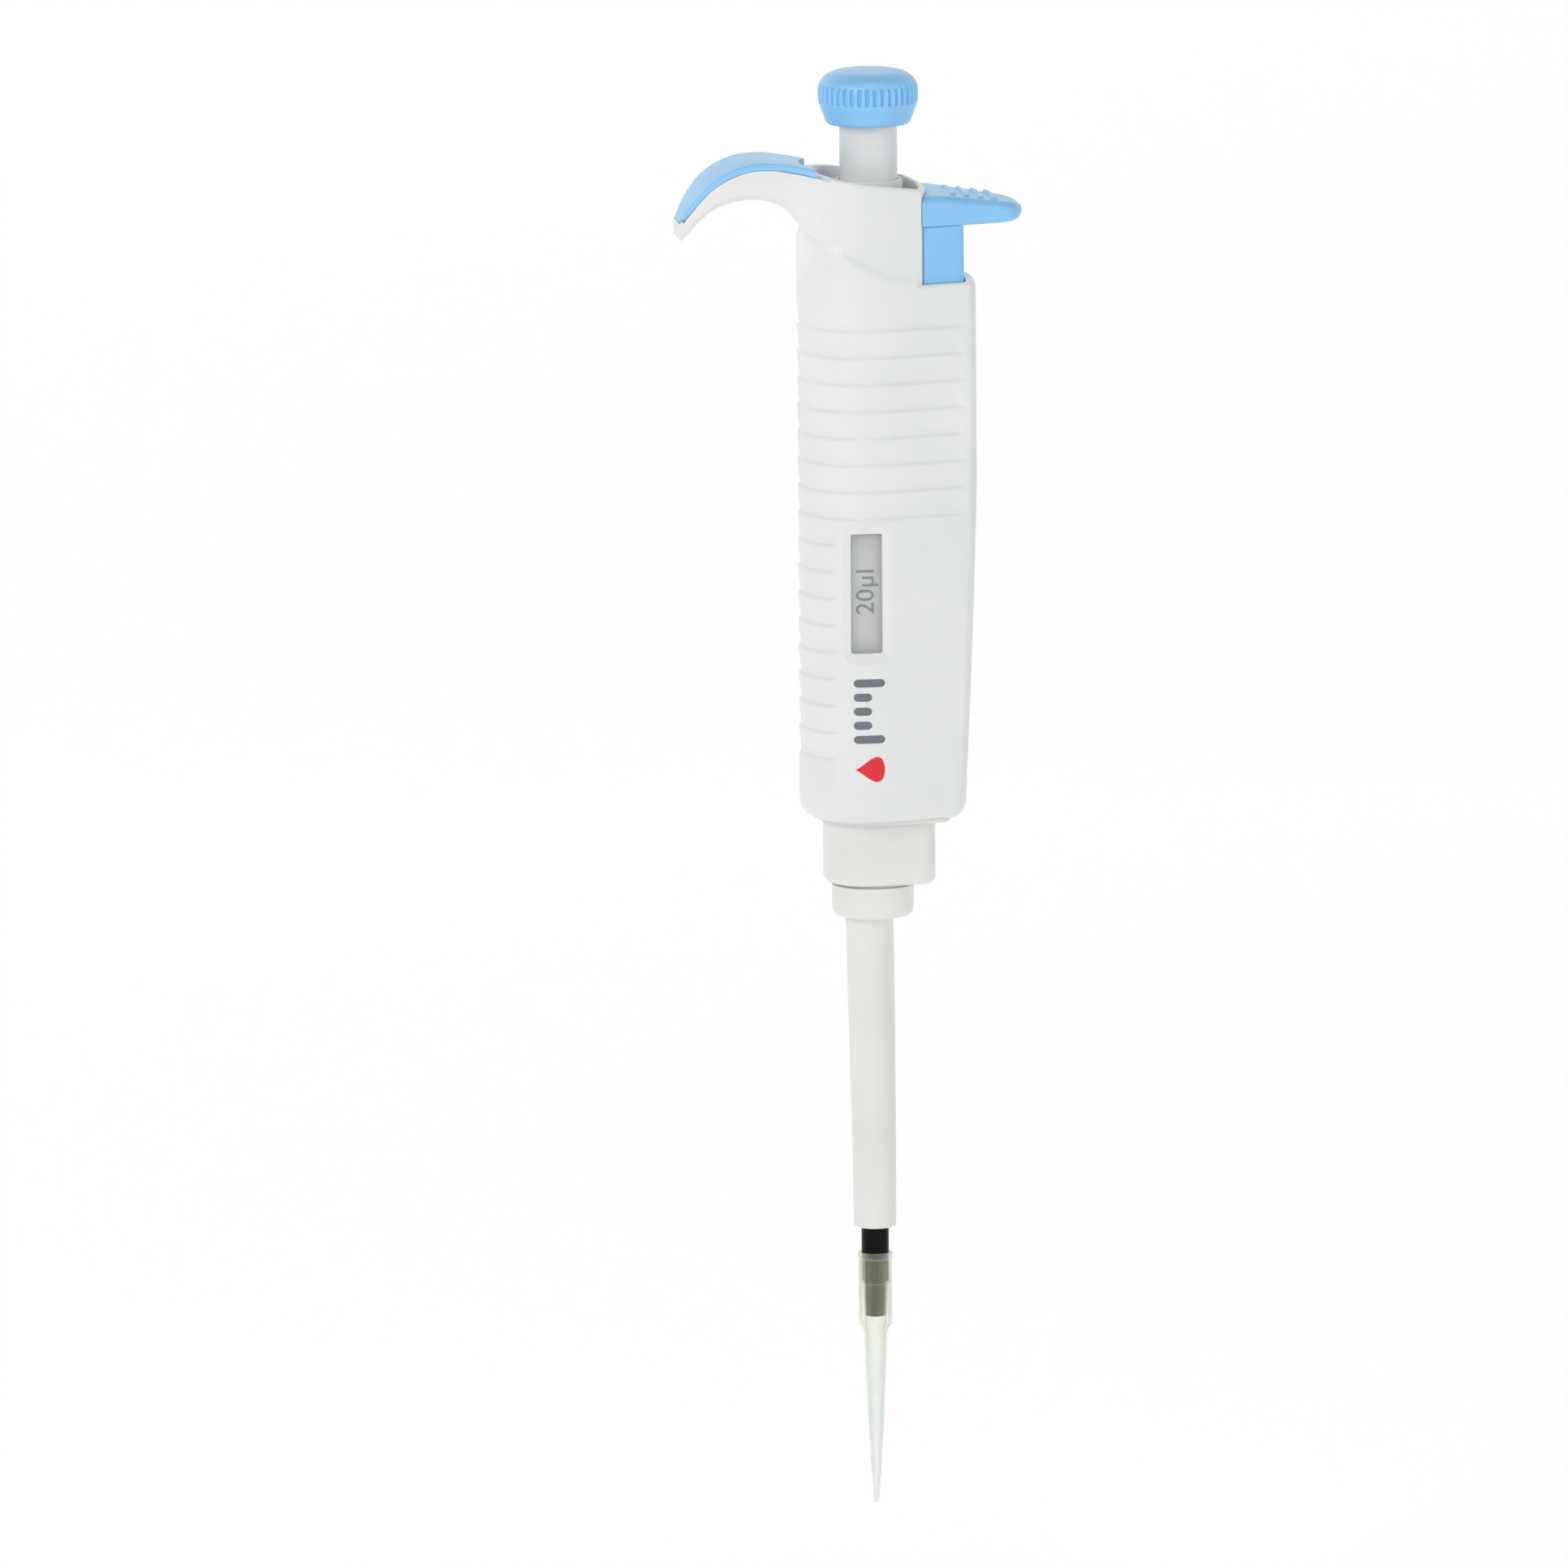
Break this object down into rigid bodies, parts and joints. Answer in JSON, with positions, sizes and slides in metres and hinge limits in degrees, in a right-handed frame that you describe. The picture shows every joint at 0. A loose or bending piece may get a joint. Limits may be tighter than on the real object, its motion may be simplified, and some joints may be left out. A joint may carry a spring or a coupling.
{
  "type": "single channel micropipette",
  "caption": "Hand-held air-displacement micropipette with a two-stage plunger, a finger hook, a thumb-operated tip ejector and a slim disposable tip fitted.",
  "frame": {"origin": "on the plunger's axis, level with the underside of the lower collar, where the pipette rests in a hanger", "axes": "+Z along the plunger's axis towards the button, +X from the finger hook towards the ejector lever"},
  "size_m": [0.0686, 0.0274, 0.2864],
  "materials": {
    "moulded_white": "satin moulded",
    "moulded_blue": "satin moulded",
    "plate_grey": "matt",
    "pane_clear": "clear",
    "cone_black": "polished",
    "seal_rubber": "matt",
    "spring_steel": "bright drawn",
    "tip_clear": "translucent"
  },
  "bodies": {
    "handle": {"handle_shell": "moulded_white", "finger_rest_pad": "moulded_blue", "window_pane": "pane_clear", "volume_plate": "plate_grey", "end_ring": "moulded_white", "chassis_tube": "moulded_white", "calibration_nut": "moulded_white", "ejector_spring_bracket": "moulded_white", "ejector_spring": "spring_steel", "piston_spring_seat": "moulded_white", "piston_spring": "spring_steel", "blowout_seat": "moulded_white", "blowout_spring": "spring_steel", "tip_cone": "cone_black", "o_ring": "seal_rubber", "seal_retainer": "spring_steel"},
    "plunger": {"push_rod": "spring_steel", "plunger_stem": "moulded_white", "stem_flange": "moulded_white", "stop_collar": "spring_steel", "piston_holder": "moulded_white", "piston": "spring_steel"},
    "button": {"plunger_button": "moulded_blue"},
    "blowout_stop": {"blowout_washer": "spring_steel"},
    "ejector": {"ejector_lever": "moulded_blue", "ejector_stem": "moulded_blue", "ejector_bar": "spring_steel", "ejector_cup": "moulded_white", "ejector_sleeve": "moulded_white"},
    "tip": {"pipette_tip": "tip_clear"}
  },
  "joints": [
    {"name": "plunger_press", "type": "slide", "parent": "handle", "child": "plunger", "axis": [0, 0, -1], "range_m": [0, 0.0095], "stiffness_N_per_m": 300, "springref_m": -0.006, "deforming": ["piston_spring"]},
    {"name": "button_turn", "type": "hinge", "parent": "plunger", "child": "button", "pos_m": [0, 0, 0.16], "axis": [0, 0, 1], "continuous": true},
    {"name": "blowout_press", "type": "slide", "parent": "handle", "child": "blowout_stop", "axis": [0, 0, -1], "range_m": [0, 0.0025], "deforming": ["blowout_spring"]},
    {"name": "eject_press", "type": "slide", "parent": "handle", "child": "ejector", "axis": [0, 0, -1], "range_m": [0, 0.0085], "stiffness_N_per_m": 400, "springref_m": -0.004, "deforming": ["ejector_spring"]},
    {"name": "tip_slide", "type": "slide", "parent": "handle", "child": "tip", "axis": [0, 0, -1], "range_m": [0, 0.0142]}
  ],
  "couplings": [
    {"joint": "blowout_press", "follows": "plunger_press", "ratio": 0.263},
    {"joint": "tip_slide", "follows": "eject_press", "ratio": 1.65}
  ]
}
